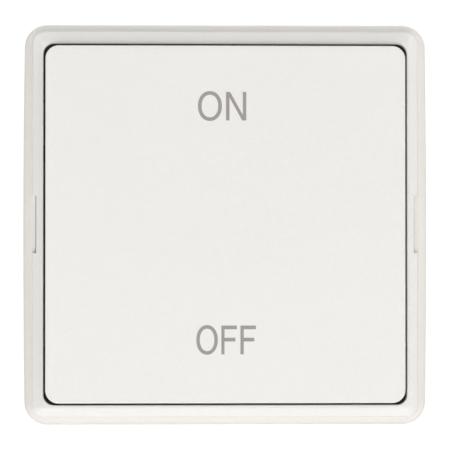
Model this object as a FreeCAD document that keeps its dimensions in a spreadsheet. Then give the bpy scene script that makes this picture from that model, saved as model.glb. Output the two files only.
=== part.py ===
"""Battery powered wall transmitter with one large ON and OFF rocker.

Each piece is drawn lying flat: x to the right, y up the wall, z out of the wall, in millimetres.
A placement then stands it up, so that the finished part has +Z up, its face towards -Y and its
origin in the middle of the face that lies on the wall.
"""

import FreeCAD, Part
import os
import Sketcher

Vector = FreeCAD.Vector
STAND_UP = FreeCAD.Rotation(Vector(1, 0, 0), 90)

# Driving dimensions. Every one can be changed by itself.
SIZES = [
    # the front, as the photograph shows it
    ("outer_width", 79.6, "casing, side to side at its corners"),
    ("outer_height", 79.5, "casing, top to foot"),
    ("side_bow", 0.33, "how far the left and right sides bulge at mid height"),
    ("outer_radius", 4.55, "casing corners, seen from the front"),
    ("band_run", 1.57, "width of the casing's sloping band, seen from the front"),
    ("band_drop", 0.9, "fall of that band towards the outside"),
    ("band_shoulder", 1.1, "rounding where the band meets the sides"),
    ("bezel_run", 2.225, "width of the bezel at the sides, seen from the front"),
    ("bezel_radius", 2.3, "corners of the bezel's lip"),
    ("bezel_land", 0.3, "flat strip of the bezel beside the opening"),
    ("end_land", 0.2, "how much wider that strip is above and below the opening"),
    ("bezel_rise", 1.7, "bezel above its seat"),
    ("bezel_slope", 0.76, "fall of the bezel's face towards its lip"),
    ("bezel_lip_round", 0.5, "rounding of the bezel's outer lip"),
    ("bezel_edge_round", 0.15, "rounding of the bezel beside the opening"),
    ("opening_radius", 2.1, "corners of the opening"),
    ("notch_length", 11.4, "pry notches in the middle of the left and right lip"),
    ("rocker_gap", 0.52, "dark gap round the rocker"),
    ("rocker_radius", 2.6, "corners of the rocker"),
    ("rocker_edge_round", 0.28, "rounding of the rocker's front edge"),
    # the wall plate
    ("plate_thickness", 1.8, ""),
    ("plate_radius", 1.7, ""),
    ("plate_gap", 0.4, "round the plate, inside the casing"),
    ("slot_spacing", 60.0, "screw slots, as a flush wall box has them"),
    ("slot_width", 4.2, ""),
    ("slot_length", 6.4, ""),
    ("slot_seat_margin", 1.9, "recess for a screw head, round its slot"),
    ("slot_seat_depth", 0.7, ""),
    ("slot_rim", 1.5, "least plate outside a recess"),
    ("foam_thickness", 0.8, "adhesive foam, flush with the back of the plate"),
    ("foam_width", 11.0, ""),
    ("foam_length", 48.0, ""),
    ("foam_offset", 16.0, "middle of each strip from the middle of the plate"),
    ("foam_gap", 0.3, "recess round each strip"),
    ("hook_width", 6.0, "four hooks that hold the casing to the plate"),
    ("hook_wall", 1.2, ""),
    ("hook_inset", 2.6, "outer face of a hook from the inside of the casing"),
    ("hook_barb", 0.7, ""),
    ("hook_offset", 11.0, "middle of each hook from mid height"),
    ("hook_play", 0.12, "barb over the floor that it holds"),
    # the casing
    ("wall_gap", 0.4, "skirt of the casing off the wall"),
    ("casing_wall", 2.2, ""),
    ("casing_back_bevel", 0.4, "bevel of the skirt's back edge"),
    ("floor_gap", 0.2, "floor over the wall plate"),
    ("floor_thickness", 1.4, ""),
    ("slot_play", 0.3, "round each hook where it passes through the floor"),
    ("rib_width", 1.2, "seating ribs inside the walls"),
    ("rib_reach", 2.8, ""),
    ("rib_spacing", 30.0, "outer ribs of each wall from its middle"),
    ("post_radius", 2.7, "posts under the board"),
    ("pilot_radius", 0.97, "screw holes in the posts"),
    ("pilot_depth", 3.3, ""),
    ("relief_radius", 4.4, "openings in the floor over the wall screws"),
    # battery
    ("cell_diameter", 20.0, "3 V coin cell"),
    ("cell_thickness", 3.2, ""),
    ("cell_gap", 0.1, "cell over the inside of its cover"),
    ("contact_gap", 0.3, "cell to board, taken up by the minus contact"),
    ("holder_gap", 0.2, "round the cell"),
    ("holder_wall", 1.3, ""),
    ("holder_foot", 0.35, "holder over the inside of the cover"),
    ("cover_gap", 0.2, "round the battery cover"),
    ("cover_rim", 0.55, "upstanding rim of the cover"),
    ("cover_rim_height", 0.95, ""),
    ("lug_reach", 1.3, "bayonet lugs of the cover, past its rim"),
    ("lug_width", 5.0, ""),
    ("lug_play", 0.15, "lugs over the floor"),
    ("coin_slot_length", 13.0, ""),
    ("coin_slot_width", 2.2, ""),
    ("coin_slot_depth", 0.7, ""),
    ("contact_sheet", 0.2, "spring sheet of both battery contacts"),
    ("contact_width", 4.0, ""),
    # circuit board
    ("board_thickness", 1.0, ""),
    ("board_margin", 7.75, "board to the inside of the casing"),
    ("board_radius", 1.5, ""),
    ("screw_inset", 4.0, "screws from the edges of the board"),
    ("screw_clearance", 0.25, "round the screws in board and carrier"),
    # carrier
    ("carrier_gap", 0.4, "round the carrier, inside the casing"),
    ("carrier_radius", 1.6, ""),
    ("carrier_stand", 1.9, "carrier over the board"),
    ("carrier_web", 1.3, ""),
    ("well_radius", 3.7, "spring wells"),
    ("well_wall", 0.9, ""),
    ("well_top", 1.2, "well over the carrier's face"),
    ("well_foot", 1.0, "well under the carrier's back"),
    ("well_floor", 0.8, ""),
    ("plunger_inset", 7.8, "plungers from the top and foot of the board"),
    ("stem_play", 0.08, "round the plunger stems"),
    ("trunnion_radius", 1.2, "pins that the rocker turns on"),
    ("trunnion_length", 2.3, ""),
    ("trunnion_post", 1.8, "posts that carry the pins"),
    ("trunnion_post_radius", 1.8, ""),
    ("pivot_height", 1.2, "pins over the carrier's face"),
    ("pivot_play", 0.05, "pin in its ear, all round"),
    ("stop_clearance", 0.07, "skirt over the stops at full tilt"),
    ("stop_length", 8.0, ""),
    ("stop_width", 2.4, ""),
    ("stop_offset", 20.0, "stops from the middle of the top and foot"),
    ("window_width", 15.0, "openings in the carrier beside the wells"),
    ("window_height", 13.0, ""),
    ("window_offset", 16.0, ""),
    # bezel
    ("bezel_seat_gap", 0.05, "bezel over the carrier"),
    ("bezel_skirt_gap", 0.2, "skirt inside the casing"),
    ("bezel_skirt", 1.35, "depth of the skirt"),
    ("bezel_skirt_wall", 1.1, ""),
    ("bezel_lip_depth", 1.4, "depth of the opening's wall"),
    ("arm_width", 8.0, "four snap arms"),
    ("arm_length", 2.85, "arms below the skirt"),
    ("arm_offset", 20.0, ""),
    ("arm_barb", 0.5, ""),
    ("arm_play", 0.3, "round the arms, in casing and carrier"),
    # rocker
    ("face_height", 3.6, "face of the rocker over its pivot"),
    ("skirt_height", 0.2, "foot of its skirt over the pivot"),
    ("rocker_plate", 1.6, ""),
    ("rocker_wall", 1.3, ""),
    ("rocker_rib", 1.0, "height of the ribs and bosses"),
    ("rocker_rib_width", 0.9, ""),
    ("rocker_rib_spacing", 12.0, ""),
    ("boss_radius", 2.6, "bosses that press the plungers"),
    ("ear_inset", 3.9, "outer face of the ears from the rocker's side"),
    ("ear_thickness", 1.6, ""),
    ("ear_radius", 2.4, ""),
    ("ear_play", 0.35, "round the ears, in the carrier"),
    ("tilt", 1.5, "degrees each way"),
    # plungers, springs and domes
    ("plunger_gap", 0.15, "nose under its boss"),
    ("nose_height", 0.3, ""),
    ("nose_radius", 1.7, ""),
    ("head_radius", 3.5, ""),
    ("head_thickness", 1.0, ""),
    ("stem_radius", 1.6, ""),
    ("dome_gap", 0.4, "stem over its dome"),
    ("spring_wire", 0.36, ""),
    ("spring_radius", 2.5, "to the middle of the wire"),
    ("spring_turns", 3.0, ""),
    ("spring_play", 0.05, "at each end"),
    ("dome_radius", 4.0, ""),
    ("dome_height", 0.35, ""),
    ("dome_sheet", 0.12, ""),
    # electronics
    ("chip_length", 8.7, ""),
    ("chip_width", 3.9, ""),
    ("chip_height", 1.4, ""),
    ("chip_offset", 14.0, "chip from the middle of the board"),
    ("lead_pitch", 1.27, ""),
    ("lead_count", 7, "on each side"),
    ("lead_width", 0.4, ""),
    ("lead_reach", 1.05, ""),
    ("lead_sheet", 0.2, ""),
    ("chip_stand", 0.1, "chip over the board"),
    ("crystal_length", 5.0, ""),
    ("crystal_width", 3.2, ""),
    ("crystal_height", 1.1, ""),
    ("coil_radius", 1.3, "antenna coil, to the middle of its wire"),
    ("coil_wire", 0.6, ""),
    ("coil_turns", 5, ""),
    ("coil_pitch", 2.0, ""),
    ("coil_offset", 19.0, "below the middle of the board"),
    ("chip_part_length", 2.0, "capacitors and resistors"),
    ("chip_part_width", 1.25, ""),
    ("capacitor_height", 0.9, ""),
    ("resistor_height", 0.5, ""),
    ("chip_part_pitch", 3.2, ""),
    # screws
    ("screw_radius", 0.92, "four screws through carrier and board"),
    ("screw_length", 6.6, ""),
    ("screw_head_radius", 1.95, ""),
    ("screw_head_height", 1.1, ""),
    ("screw_slot", 0.55, "cross recess"),
]

# Places and sizes worked out from the driving dimensions. Levels are heights over the wall.
PLACES = [
    ("inner_width", "size.outer_width - 2 * size.casing_wall"),
    ("inner_height", "size.outer_height - 2 * size.casing_wall"),
    ("inner_radius", "max(size.outer_radius - size.casing_wall; 0.4)"),
    ("plate_width", "inner_width - 2 * size.plate_gap"),
    ("plate_height", "inner_height - 2 * size.plate_gap"),
    ("slot_room", "size.slot_length + 2 * size.slot_seat_margin + 2 * size.slot_rim"),
    ("slot_x", "min(size.slot_spacing; plate_width - slot_room) / 2"),
    ("slot_y", "min(size.slot_spacing; plate_height - slot_room) / 2"),
    ("floor_back", "size.plate_thickness + size.floor_gap"),
    ("floor_top", "floor_back + size.floor_thickness"),
    ("cell_level", "floor_top + size.cell_gap"),
    ("board_back", "cell_level + size.cell_thickness + size.contact_gap"),
    ("board_top", "board_back + size.board_thickness"),
    ("carrier_back", "board_top + size.carrier_stand"),
    ("carrier_top", "carrier_back + size.carrier_web"),
    ("bezel_foot", "carrier_top + size.bezel_seat_gap"),
    ("band_top", "bezel_foot + size.bezel_skirt"),
    ("bezel_face", "band_top + size.bezel_rise"),
    ("bezel_width", "size.outer_width - 2 * size.band_run"),
    ("bezel_height", "size.outer_height - 2 * size.band_run"),
    ("opening_width", "bezel_width - 2 * size.bezel_run"),
    ("opening_height", "bezel_height - 2 * (size.bezel_run + size.end_land)"),
    ("skirt_width", "inner_width - 2 * size.bezel_skirt_gap"),
    ("skirt_height", "inner_height - 2 * size.bezel_skirt_gap"),
    ("skirt_radius", "max(inner_radius - size.bezel_skirt_gap; 0.3)"),
    ("arm_foot", "bezel_foot - size.arm_length"),
    ("rocker_width", "opening_width - 2 * size.rocker_gap"),
    ("rocker_height", "opening_height - 2 * size.rocker_gap"),
    ("pivot_level", "carrier_top + size.pivot_height"),
    ("rocker_face", "pivot_level + size.face_height"),
    ("rocker_foot", "pivot_level + size.skirt_height"),
    ("rocker_under", "rocker_face - size.rocker_plate"),
    ("boss_level", "rocker_under - size.rocker_rib"),
    ("nose_level", "boss_level - size.plunger_gap"),
    ("head_top", "nose_level - size.nose_height"),
    ("head_under", "head_top - size.head_thickness"),
    ("dome_top", "board_top + size.dome_height"),
    ("stem_foot", "dome_top + size.dome_gap"),
    ("well_back", "carrier_back - size.well_foot"),
    ("well_seat", "well_back + size.well_floor"),
    ("well_rim", "carrier_top + size.well_top"),
    ("well_outer", "size.well_radius + size.well_wall"),
    ("ear_outer", "rocker_width / 2 - size.ear_inset"),
    ("ear_inner", "ear_outer - size.ear_thickness"),
    ("post_outer", "ear_inner - size.ear_play"),
    ("post_inner", "post_outer - size.trunnion_post"),
    ("board_width", "inner_width - 2 * size.board_margin"),
    ("board_height", "inner_height - 2 * size.board_margin"),
    ("screw_x", "board_width / 2 - size.screw_inset"),
    ("screw_y", "board_height / 2 - size.screw_inset"),
    ("plunger_arm", "board_height / 2 - size.plunger_inset"),
    ("cell_radius", "size.cell_diameter / 2"),
    ("holder_inner", "cell_radius + size.holder_gap"),
    ("holder_outer", "holder_inner + size.holder_wall"),
    ("cover_radius", "holder_outer + size.holder_gap + size.cover_rim"),
    ("cover_opening", "cover_radius + size.cover_gap"),
    ("hook_outer", "inner_width / 2 - size.hook_inset"),
    ("hook_inner", "hook_outer - size.hook_wall"),
    ("stop_reach", "rocker_height / 2"),
    ("stop_level", "rocker_foot - stop_reach * sin(size.tilt * 1 deg) - size.stop_clearance"),
]

doc = FreeCAD.newDocument("wall_transmitter")
size = doc.addObject("Spreadsheet::Sheet", "size")
place = doc.addObject("Spreadsheet::Sheet", "place")


def fill_sheets():
    """Write the driving dimensions as numbers and the worked-out places as formulas."""
    for row, (alias, amount, note) in enumerate(SIZES, start=1):
        size.set(f"A{row}", alias)
        size.set(f"B{row}", str(amount))
        size.set(f"C{row}", note)
        size.setAlias(f"B{row}", alias)
    for row, (alias, formula) in enumerate(PLACES, start=1):
        place.set(f"A{row}", alias)
        place.set(f"B{row}", "=" + formula)
        place.setAlias(f"B{row}", alias)
    doc.recompute()


def number(formula):
    """The present value of a formula over the two sheets."""
    found = size.evalExpression(formula)
    return float(getattr(found, "Value", found))


def new_body(name, x="0", up="0", out="0"):
    """An empty piece, standing upright, with its own origin at a place over the wall."""
    body = doc.addObject("PartDesign::Body", name)
    body.Label = name
    body.AllowCompound = True
    base = Vector(number(x), -number(out), number(up))
    body.Placement = FreeCAD.Placement(base, STAND_UP)
    for axis, formula in (("x", x), ("y", f"-({out})"), ("z", up)):
        if formula not in ("0", "-(0)"):
            body.setExpression(f"Placement.Base.{axis}", formula)
    return body


def origin(body, role):
    return next(f for f in body.Origin.OriginFeatures if f.Role == role)


def new_sketch(body, name, level="0", plane="XY_Plane"):
    """A sketch on one of the piece's own planes, raised along its normal to a level."""
    sketch = body.newObject("Sketcher::SketchObject", name)
    sketch.AttachmentSupport = [(origin(body, plane), "")]
    sketch.MapMode = "FlatFace"
    offset = Vector(0, 0, number(level))
    sketch.AttachmentOffset = FreeCAD.Placement(offset, FreeCAD.Rotation())
    if level != "0":
        sketch.setExpression("AttachmentOffset.Base.z", level)
    return sketch


def rule(sketch, kind, *args):
    """Add a constraint; where its last argument is a formula, bind it to the sheets."""
    formula = args[-1] if isinstance(args[-1], str) else None
    values = args[:-1] + (number(formula),) if formula else args
    index = sketch.addConstraint(Sketcher.Constraint(kind, *values))
    if formula:
        sketch.setExpression(f"Constraints[{index}]", formula)
    return index


def pin(sketch, edge, end, x, y):
    """Hold one point of the sketch at the place (x, y)."""
    for kind, axis, formula in (("DistanceX", -2, x), ("DistanceY", -1, y)):
        if formula is None:
            continue
        if formula == "0":
            rule(sketch, "PointOnObject", edge, end, axis)
        else:
            rule(sketch, kind, -1, 1, edge, end, formula)


def circle(sketch, radius, x="0", y="0"):
    centre = Vector(number(x), number(y), 0)
    edge = sketch.addGeometry(Part.Circle(centre, Vector(0, 0, 1), number(radius)), False)
    rule(sketch, "Radius", edge, radius)
    pin(sketch, edge, 3, x, y)


def polygon(sketch, points):
    """A closed outline with straight sides through points given as formulas."""
    corners = [Vector(number(x), number(y), 0) for x, y in points]
    count = len(points)
    edges = []
    for index, corner in enumerate(corners):
        side = Part.LineSegment(corner, corners[(index + 1) % count])
        edges.append(sketch.addGeometry(side, False))
    for index, edge in enumerate(edges):
        rule(sketch, "Coincident", edge, 2, edges[(index + 1) % count], 1)
        pin(sketch, edge, 1, *points[index])


def wire_section(sketch, wire, x, y):
    """Six-sided section of drawn wire about the place (x, y), as large as the round of its gauge."""
    reach = f"({wire}) * 0.55"
    flat = f"({wire}) * 0.4763"
    corners = [(reach, "0"), (f"{reach} / 2", flat), (f"-{reach} / 2", flat)]
    corners += [(f"-{reach}", "0"), (f"-{reach} / 2", f"-{flat}"), (f"{reach} / 2", f"-{flat}")]
    polygon(sketch, [(f"{x} + {along}", f"{y} + {across}") for along, across in corners])


def box_outline(sketch, left, right, foot, top):
    """A rectangle between four formulas."""
    polygon(sketch, [(left, foot), (right, foot), (right, top), (left, top)])


def centred_box(sketch, width, height, x="0", y="0"):
    """A rectangle round the place (x, y)."""
    half_w, half_h = f"({width}) / 2", f"({height}) / 2"
    box_outline(
        sketch, f"{x} - {half_w}", f"{x} + {half_w}", f"{y} - {half_h}", f"{y} + {half_h}"
    )


def rounded_box(sketch, width, height, radius):
    """A rectangle with equal round corners, centred on the origin."""
    w, h, r = number(width) / 2, number(height) / 2, number(radius)
    starts = [(-w + r, -h), (w, -h + r), (w - r, h), (-w, h - r)]
    ends = [(w - r, -h), (w, h - r), (-w + r, h), (-w, -h + r)]
    centres = [(w - r, -h + r), (w - r, h - r), (-w + r, h - r), (-w + r, -h + r)]
    angles = [-90, 0, 90, 180]
    sides = []
    arcs = []
    for start, end, centre, angle in zip(starts, ends, centres, angles):
        side = Part.LineSegment(Vector(*start, 0), Vector(*end, 0))
        sides.append(sketch.addGeometry(side, False))
        ring = Part.Circle(Vector(*centre, 0), Vector(0, 0, 1), r)
        first = FreeCAD.Units.Quantity(angle, "deg").getValueAs("rad").Value
        last = FreeCAD.Units.Quantity(angle + 90, "deg").getValueAs("rad").Value
        arcs.append(sketch.addGeometry(Part.ArcOfCircle(ring, first, last), False))
    for index in range(4):
        rule(sketch, "Tangent", sides[index], 2, arcs[index], 1)
        rule(sketch, "Tangent", arcs[index], 2, sides[(index + 1) % 4], 1)
    for index in range(3):
        rule(sketch, "Equal", arcs[index], arcs[index + 1])
    rule(sketch, "Horizontal", sides[0])
    rule(sketch, "Vertical", sides[1])
    rule(sketch, "Symmetric", arcs[1], 3, arcs[3], 3, -1, 1)
    rule(sketch, "Radius", arcs[0], radius)
    rule(sketch, "DistanceX", arcs[3], 3, arcs[1], 3, f"{width} - 2 * ({radius})")
    rule(sketch, "DistanceY", arcs[3], 3, arcs[1], 3, f"{height} - 2 * ({radius})")


def slot(sketch, length, width, x="0", y="0", upright=False):
    """A slot with round ends, centred on the place (x, y)."""
    half = (number(length) - number(width)) / 2
    radius = number(width) / 2
    middle = Vector(number(x), number(y), 0)
    along = Vector(0, 1, 0) if upright else Vector(1, 0, 0)
    across = Vector(-along.y, along.x, 0)
    far, near = middle + along * half, middle - along * half
    turn = 1.5707963267948966 if upright else 0.0
    quarter = 1.5707963267948966
    first = sketch.addGeometry(
        Part.ArcOfCircle(
            Part.Circle(far, Vector(0, 0, 1), radius), turn - quarter, turn + quarter
        ),
        False,
    )
    second = sketch.addGeometry(
        Part.ArcOfCircle(
            Part.Circle(near, Vector(0, 0, 1), radius), turn + quarter, turn + 3 * quarter
        ),
        False,
    )
    upper = sketch.addGeometry(
        Part.LineSegment(far + across * radius, near + across * radius), False
    )
    lower = sketch.addGeometry(
        Part.LineSegment(near - across * radius, far - across * radius), False
    )
    rule(sketch, "Tangent", first, 2, upper, 1)
    rule(sketch, "Tangent", upper, 2, second, 1)
    rule(sketch, "Tangent", second, 2, lower, 1)
    rule(sketch, "Tangent", lower, 2, first, 1)
    rule(sketch, "Radius", first, f"({width}) / 2")
    reach = f"(({length}) - ({width})) / 2"
    for edge, sign in ((first, "+"), (second, "-")):
        if upright:
            pin(sketch, edge, 3, x, f"{y} {sign} {reach}")
        elif edge == first:
            pin(sketch, edge, 3, f"{x} {sign} {reach}", y)
        else:
            pin(sketch, edge, 3, f"{x} {sign} {reach}", None)


def tab_outline(sketch, radius, level, root):
    """A tab with a half-round end about a level and straight sides to its root."""
    r, middle, end = number(radius), number(level), number(root)
    half_turn = 3.141592653589793
    first = half_turn if end > middle else 0.0
    side = r if end > middle else -r
    ring = Part.Circle(Vector(0, middle, 0), Vector(0, 0, 1), r)
    arc = sketch.addGeometry(Part.ArcOfCircle(ring, first, first + half_turn), False)
    points = [Vector(side, middle, 0), Vector(side, end, 0)]
    points += [Vector(-side, end, 0), Vector(-side, middle, 0)]
    sides = []
    for start, stop in zip(points, points[1:]):
        sides.append(sketch.addGeometry(Part.LineSegment(start, stop), False))
    rule(sketch, "Tangent", arc, 2, sides[0], 1)
    rule(sketch, "Coincident", sides[0], 2, sides[1], 1)
    rule(sketch, "Coincident", sides[1], 2, sides[2], 1)
    rule(sketch, "Tangent", sides[2], 2, arc, 1)
    rule(sketch, "Vertical", sides[0])
    rule(sketch, "Vertical", sides[2])
    rule(sketch, "Horizontal", sides[1])
    rule(sketch, "Radius", arc, radius)
    pin(sketch, arc, 3, "0", level)
    pin(sketch, sides[1], 1, None, root)


def add(body, kind, name, sketch=None, **settings):
    """Add a feature, bind its formulas and make sure that it changed the piece's volume."""
    before = body.Shape.Volume if body.Tip and not body.Shape.isNull() else 0.0
    feature = body.newObject("PartDesign::" + kind, name)
    if sketch:
        feature.Profile = sketch
        sketch.Visibility = False
    for key, setting in settings.items():
        if isinstance(setting, str) and key not in ("SideType", "Type", "Mode"):
            feature.setExpression(key, setting)
        else:
            setattr(feature, key, setting)
    body.Tip = feature
    doc.recompute()
    after = body.Shape.Volume
    if "Invalid" in feature.State or "Error" in feature.State:
        raise RuntimeError(f"{body.Name}.{name} failed: {feature.State}")
    if abs(after - before) < 1e-6:
        raise RuntimeError(f"{body.Name}.{name} changes nothing")
    return feature


def pad(body, name, sketch, length, **settings):
    return add(body, "Pad", name, sketch, Length=length, **settings)


def pocket(body, name, sketch, length, up=True, **settings):
    """Cut from the sketch outward (up) or towards the wall."""
    return add(body, "Pocket", name, sketch, Length=length, Reversed=up, **settings)


def both_ways(body, name, features):
    """Repeat features in the mirror, left to right and top to foot."""
    group = body.newObject("PartDesign::MultiTransform", name)
    flips = []
    for role, label in (("YZ_Plane", "sideways"), ("XZ_Plane", "upward")):
        flip = body.newObject("PartDesign::Mirrored", f"{name}_{label}")
        flip.MirrorPlane = (origin(body, role), [""])
        flips.append(flip)
    group.Originals = features
    group.Transformations = flips
    body.Tip = group
    doc.recompute()
    return group


def mirrored(body, name, features, role):
    flip = body.newObject("PartDesign::Mirrored", name)
    flip.MirrorPlane = (origin(body, role), [""])
    flip.Originals = features
    body.Tip = flip
    doc.recompute()
    return flip


def edges(feature, wanted):
    """Names of the feature's edges that a test picks."""
    shape = feature.Shape
    return [f"Edge{n}" for n, edge in enumerate(shape.Edges, start=1) if wanted(edge)]


def dress(body, kind, name, base, wanted, **settings):
    """A fillet or chamfer on the edges that a test picks."""
    chosen = edges(base, wanted)
    if not chosen:
        raise RuntimeError(f"{body.Name}.{name} finds no edge")
    return add(body, kind, name, Base=(base, chosen), **settings)


def level_edge(level):
    """Test for edges that lie flat at a level."""
    height = number(level)

    def wanted(edge):
        box = edge.BoundBox
        return abs(box.ZMin - height) < 1e-4 and abs(box.ZMax - height) < 1e-4

    return wanted


def beyond(level, width, height):
    """Test for flat edges at a level that lie on or outside a rectangle."""
    flat = level_edge(level)
    half_w, half_h = number(width) / 2, number(height) / 2

    def wanted(edge):
        middle = edge.valueAt((edge.FirstParameter + edge.LastParameter) / 2)
        outside = abs(middle.x) > half_w - 1e-3 or abs(middle.y) > half_h - 1e-3
        corner = abs(middle.x) > half_w * 0.9 and abs(middle.y) > half_h * 0.9
        return flat(edge) and (outside or corner)

    return wanted


def upright_edge(edge):
    box = edge.BoundBox
    return box.ZLength > 1e-3 and box.XLength < 1e-3 and box.YLength < 1e-3


def make_wall_plate():
    """Flat plate for the wall: screw slots, recesses for foam strips and four hooks."""
    body = new_body("wall_plate")
    sketch = new_sketch(body, "plate_outline")
    rounded_box(sketch, "place.plate_width", "place.plate_height", "size.plate_radius")
    pad(body, "plate", sketch, "size.plate_thickness")
    seat = new_sketch(body, "screw_seats", "size.plate_thickness - size.slot_seat_depth")
    holes = new_sketch(body, "screw_slots")
    grown_length = "size.slot_length + 2 * size.slot_seat_margin"
    grown_width = "size.slot_width + 2 * size.slot_seat_margin"
    for sign in ("", "-"):
        for x, y, upright in ((f"{sign}place.slot_x", "0", False), ("0", f"{sign}place.slot_y", True)):
            slot(holes, "size.slot_length", "size.slot_width", x, y, upright)
            slot(seat, grown_length, grown_width, x, y, upright)
    pocket(body, "seats", seat, "size.slot_seat_depth")
    pocket(body, "slots", holes, "size.plate_thickness")
    sketch = new_sketch(body, "foam_recesses")
    for sign in ("", "-"):
        centred_box(
            sketch,
            "size.foam_length + 2 * size.foam_gap",
            "size.foam_width + 2 * size.foam_gap",
            "0",
            f"{sign}size.foam_offset",
        )
    pocket(body, "recesses", sketch, "size.foam_thickness")
    sketch = new_sketch(body, "hook_profile", "-size.hook_offset", plane="XZ_Plane")
    barb_foot = "place.floor_top + size.hook_play"
    polygon(
        sketch,
        [
            ("place.hook_inner", "size.plate_thickness / 2"),
            ("place.hook_outer", "size.plate_thickness / 2"),
            ("place.hook_outer", barb_foot),
            ("place.hook_outer + size.hook_barb", barb_foot),
            ("place.hook_outer + size.hook_barb", f"{barb_foot} + size.hook_barb / 3"),
            ("place.hook_outer - size.hook_wall / 3", f"{barb_foot} + size.hook_wall"),
            ("place.hook_inner", f"{barb_foot} + size.hook_wall"),
        ],
    )
    hook = pad(body, "hook", sketch, "size.hook_width", SideType="Symmetric")
    both_ways(body, "hooks", [hook])
    return body


def make_adhesive_pads():
    """Two foam strips in the recesses of the wall plate."""
    body = new_body("adhesive_pads")
    sketch = new_sketch(body, "strips")
    for sign in ("", "-"):
        centred_box(sketch, "size.foam_length", "size.foam_width", "0", f"{sign}size.foam_offset")
    pad(body, "foam", sketch, "size.foam_thickness")
    return body


def bowed_outline(sketch):
    """The casing seen from the front: straight top and foot, left and right sides bowed outward."""
    w, h, bow = number("size.outer_width") / 2, number("size.outer_height") / 2, number("size.side_bow")
    corners = [Vector(-w, -h, 0), Vector(w, -h, 0), Vector(w, h, 0), Vector(-w, h, 0)]
    middles = [None, Vector(w + bow, 0, 0), None, Vector(-w - bow, 0, 0)]
    made = []
    for index, middle in enumerate(middles):
        start, end = corners[index], corners[(index + 1) % 4]
        curve = Part.Arc(start, middle, end) if middle else Part.LineSegment(start, end)
        made.append(sketch.addGeometry(curve, False))
    for index in range(4):
        rule(sketch, "Coincident", made[index], 2, made[(index + 1) % 4], 1)
    half_w, half_h = "size.outer_width / 2", "size.outer_height / 2"
    rule(sketch, "Horizontal", made[0])
    rule(sketch, "Horizontal", made[2])
    rule(sketch, "Symmetric", made[0], 1, made[2], 1, -1, 1)
    pin(sketch, made[0], 2, half_w, f"-{half_h}")
    curve = f"({half_h} * {half_h} + size.side_bow * size.side_bow) / (2 * size.side_bow)"
    rule(sketch, "Radius", made[1], curve)
    rule(sketch, "Radius", made[3], curve)


def make_outer_casing():
    """White tub: bowed sides, sloping front band, floor, posts, ribs and latch pockets."""
    body = new_body("outer_casing")
    sketch = new_sketch(body, "casing_outline", "size.wall_gap")
    bowed_outline(sketch)
    block = pad(body, "block", sketch, "place.band_top - size.wall_gap")
    block = dress(body, "Fillet", "corners", block, upright_edge, Radius="size.outer_radius")
    outside = beyond("place.band_top", "size.outer_width", "size.outer_height")
    band = dress(
        body, "Chamfer", "band", block, outside,
        ChamferType=1, Size="size.band_drop", Size2="size.band_run",
    )
    shoulder_level = "place.band_top - size.band_drop"
    outside = beyond(shoulder_level, "size.outer_width", "size.outer_height")
    block = dress(body, "Fillet", "shoulder", band, outside, Radius="size.band_shoulder")
    outside = beyond("size.wall_gap", "size.outer_width", "size.outer_height")
    dress(body, "Chamfer", "back_edge", block, outside, Size="size.casing_back_bevel")
    sketch = new_sketch(body, "hollow_outline", "place.floor_top")
    rounded_box(sketch, "place.inner_width", "place.inner_height", "place.inner_radius")
    pocket(body, "hollow", sketch, "place.band_top - place.floor_top")
    sketch = new_sketch(body, "back_outline", "size.wall_gap")
    rounded_box(sketch, "place.inner_width", "place.inner_height", "place.inner_radius")
    pocket(body, "back_recess", sketch, "place.floor_back - size.wall_gap")
    cut_floor(body)
    stand_posts(body)
    stand_ribs(body)
    sketch = new_sketch(body, "latch_pockets_outline", "place.arm_foot - size.arm_play / 2")
    start = "place.inner_width / 2 - size.rib_width"
    reach = "place.skirt_width / 2 + size.arm_barb + size.arm_play"
    half = "(size.arm_width / 2 + size.arm_play)"
    box_outline(sketch, start, reach, f"size.arm_offset - {half}", f"size.arm_offset + {half}")
    height = "size.arm_barb * 2 + size.arm_play"
    latch = pocket(body, "latch_pocket", sketch, height)
    both_ways(body, "latch_pockets", [latch])
    return body


def cut_floor(body):
    """Openings in the casing's floor: battery, bayonet notches, wall screws and hooks."""
    sketch = new_sketch(body, "battery_opening_outline", "place.floor_back")
    circle(sketch, "place.cover_opening")
    pocket(body, "battery_opening", sketch, "size.floor_thickness")
    sketch = new_sketch(body, "notch_outline", "place.floor_back")
    reach = "place.cover_radius + size.lug_reach + size.cover_gap"
    half = "(size.lug_width / 2 + size.cover_gap)"
    box_outline(sketch, f"-{half}", half, "place.cover_radius / 2", reach)
    notch = pocket(body, "bayonet_notch", sketch, "size.floor_thickness")
    ring = body.newObject("PartDesign::PolarPattern", "bayonet_notches")
    ring.Originals = [notch]
    ring.Axis = (origin(body, "Z_Axis"), [""])
    ring.Occurrences = 3
    ring.Angle = 360
    body.Tip = ring
    doc.recompute()
    sketch = new_sketch(body, "floor_openings", "place.floor_back")
    for sign in ("", "-"):
        circle(sketch, "size.relief_radius", f"{sign}place.slot_x", "0")
        circle(sketch, "size.relief_radius", "0", f"{sign}place.slot_y")
    pocket(body, "screw_reliefs", sketch, "size.floor_thickness")
    sketch = new_sketch(body, "hook_slot_outline", "place.floor_back")
    half = "(size.hook_width / 2 + size.slot_play)"
    box_outline(
        sketch,
        "place.hook_inner - size.slot_play",
        "place.hook_outer + size.slot_play",
        f"size.hook_offset - {half}",
        f"size.hook_offset + {half}",
    )
    hole = pocket(body, "hook_slot", sketch, "size.floor_thickness")
    both_ways(body, "hook_slots", [hole])


def stand_posts(body):
    """Four posts under the board, with pilot holes for the screws."""
    sketch = new_sketch(body, "post_outline", "place.floor_top")
    circle(sketch, "size.post_radius", "place.screw_x", "place.screw_y")
    post = pad(body, "post", sketch, "place.board_back - place.floor_top")
    both_ways(body, "posts", [post])
    sketch = new_sketch(body, "pilot_outline", "place.board_back")
    circle(sketch, "size.pilot_radius", "place.screw_x", "place.screw_y")
    hole = pocket(body, "pilot", sketch, "size.pilot_depth", up=False)
    both_ways(body, "pilots", [hole])


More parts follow.
